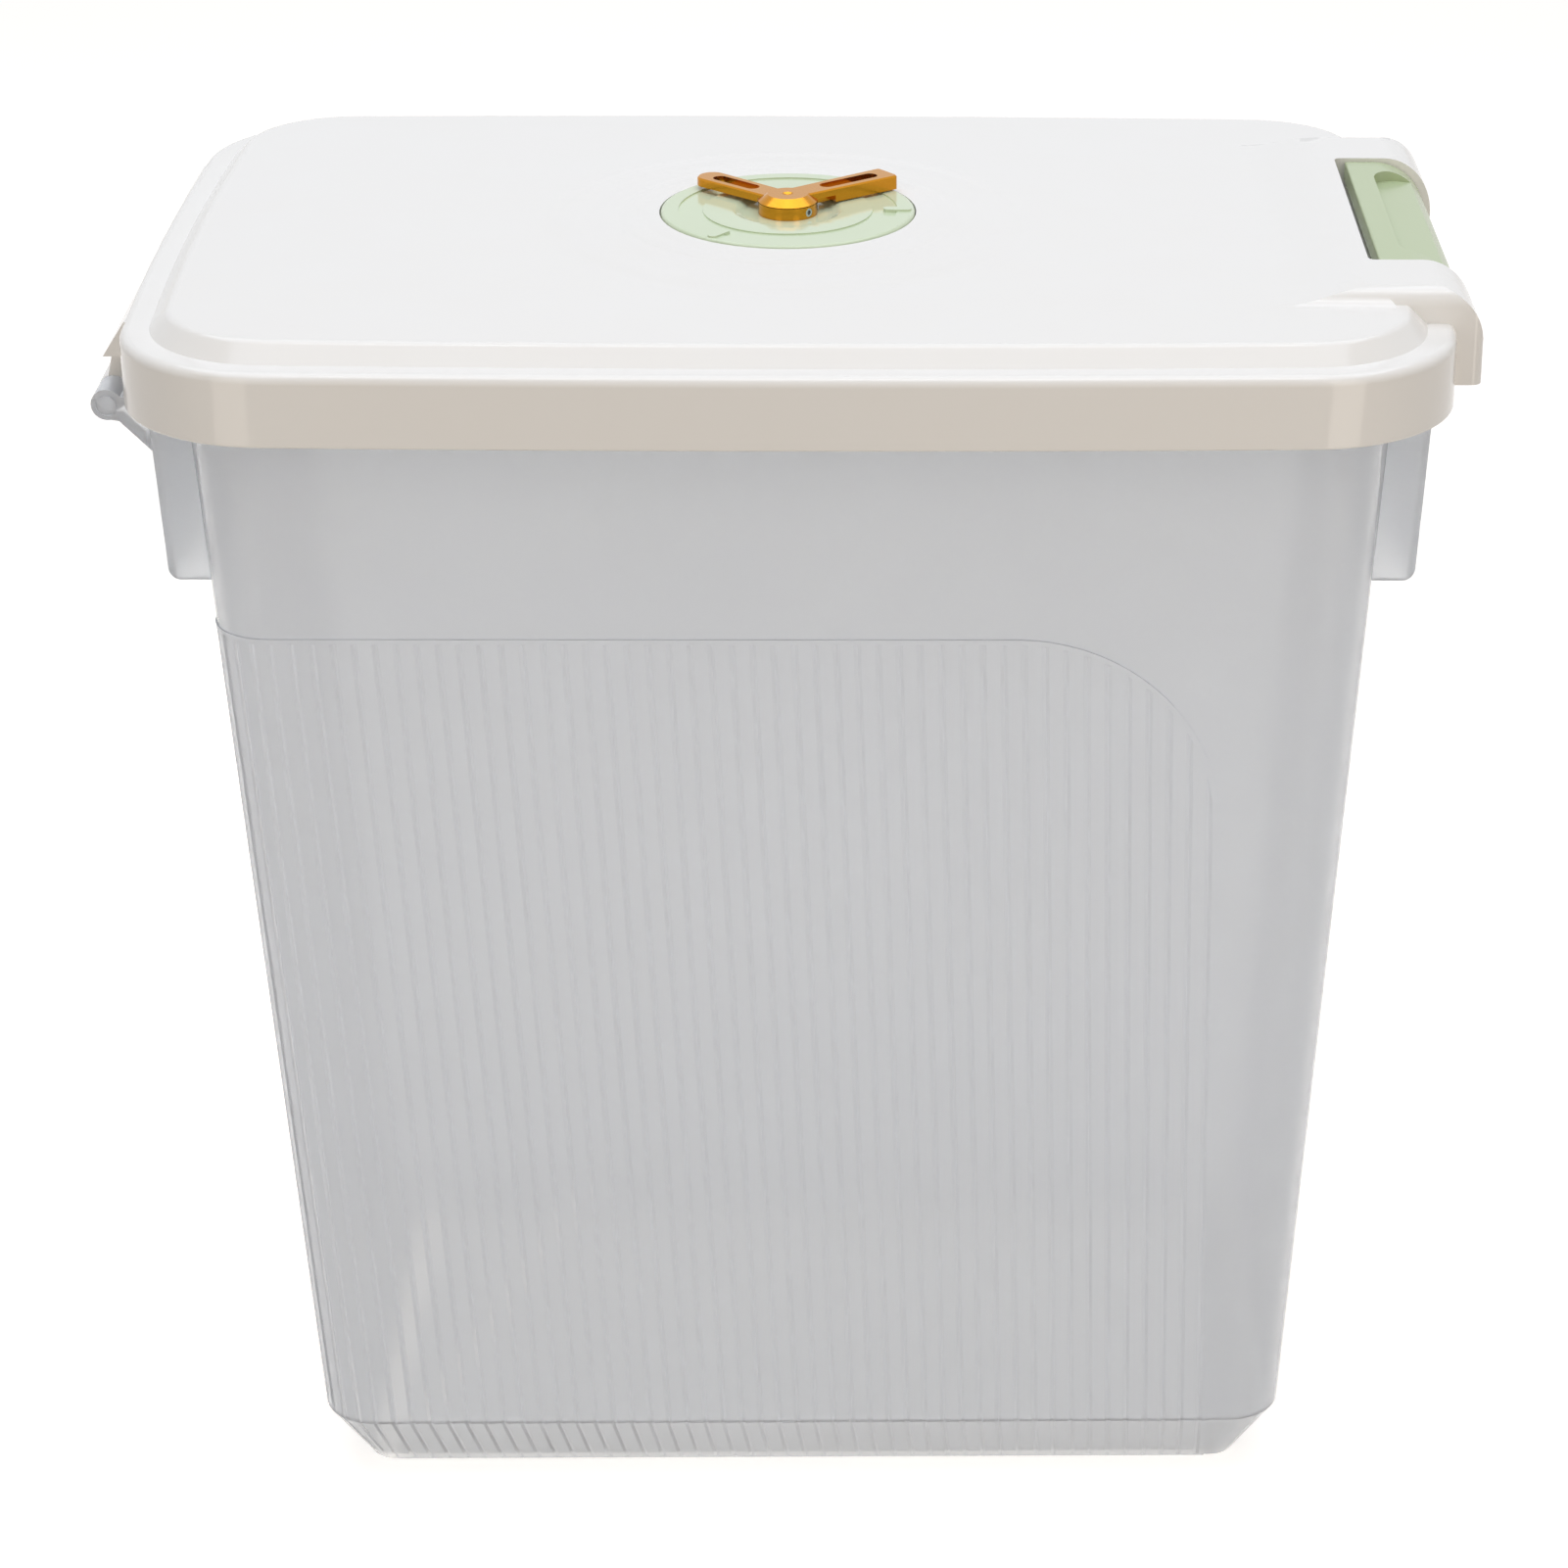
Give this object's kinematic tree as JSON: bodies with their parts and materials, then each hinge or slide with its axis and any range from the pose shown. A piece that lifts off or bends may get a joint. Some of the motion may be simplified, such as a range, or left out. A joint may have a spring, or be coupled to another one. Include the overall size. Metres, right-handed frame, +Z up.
{
  "type": "rice bin with flip lid",
  "caption": "Tapered clear bin with a reeded wall and hollow side grips, a white lid on a long side hinge with a sprung latch, and a turning dial cap with a slotted drying cup below.",
  "frame": {"origin": "centre of the face that the bin stands on", "axes": "+Z up, +X to the latch side, -X to the hinge side, -Y to the front"},
  "size_m": [0.3755, 0.245, 0.376],
  "materials": {
    "clear_plastic": "clear, gloss",
    "white_plastic": "satin gloss",
    "green_plastic": "satin gloss",
    "pale_green_plastic": "satin gloss",
    "gold": "plated, gloss",
    "steel": "plain",
    "seal_rubber": "matt, translucent white"
  },
  "bodies": {
    "bin": {"bin_body": "clear_plastic", "hinge_pin": "steel"},
    "lid": {"lid_shell": "white_plastic", "lid_gasket": "seal_rubber", "latch_pin": "steel", "latch_springs": "steel", "drying_cup": "white_plastic"},
    "latch": {"latch_button": "green_plastic"},
    "dial": {"dial_cap": "pale_green_plastic", "dial_seal": "seal_rubber", "handle_collar": "gold", "grub_screw": "steel", "wing_handle": "gold", "dial_spindle": "steel", "spindle_washer": "steel", "spindle_nut": "steel"}
  },
  "joints": [
    {"name": "lid_hinge", "type": "hinge", "parent": "bin", "child": "lid", "pos_m": [-0.1847, 0, 0.3385], "axis": [0, -1, 0], "range_deg": [0, 105]},
    {"name": "latch_press", "type": "hinge", "parent": "lid", "child": "latch", "pos_m": [0.1745, 0, 0.3659], "axis": [0, -1, 0], "range_deg": [0, 12], "stiffness_Nm_per_rad": 0.3, "springref_deg": -11.46, "deforming": ["latch_springs"]},
    {"name": "dial_turn", "type": "hinge", "parent": "lid", "child": "dial", "pos_m": [-0.0025, 0, 0.37], "axis": [0, 0, 1], "range_deg": [0, 60]}
  ]
}
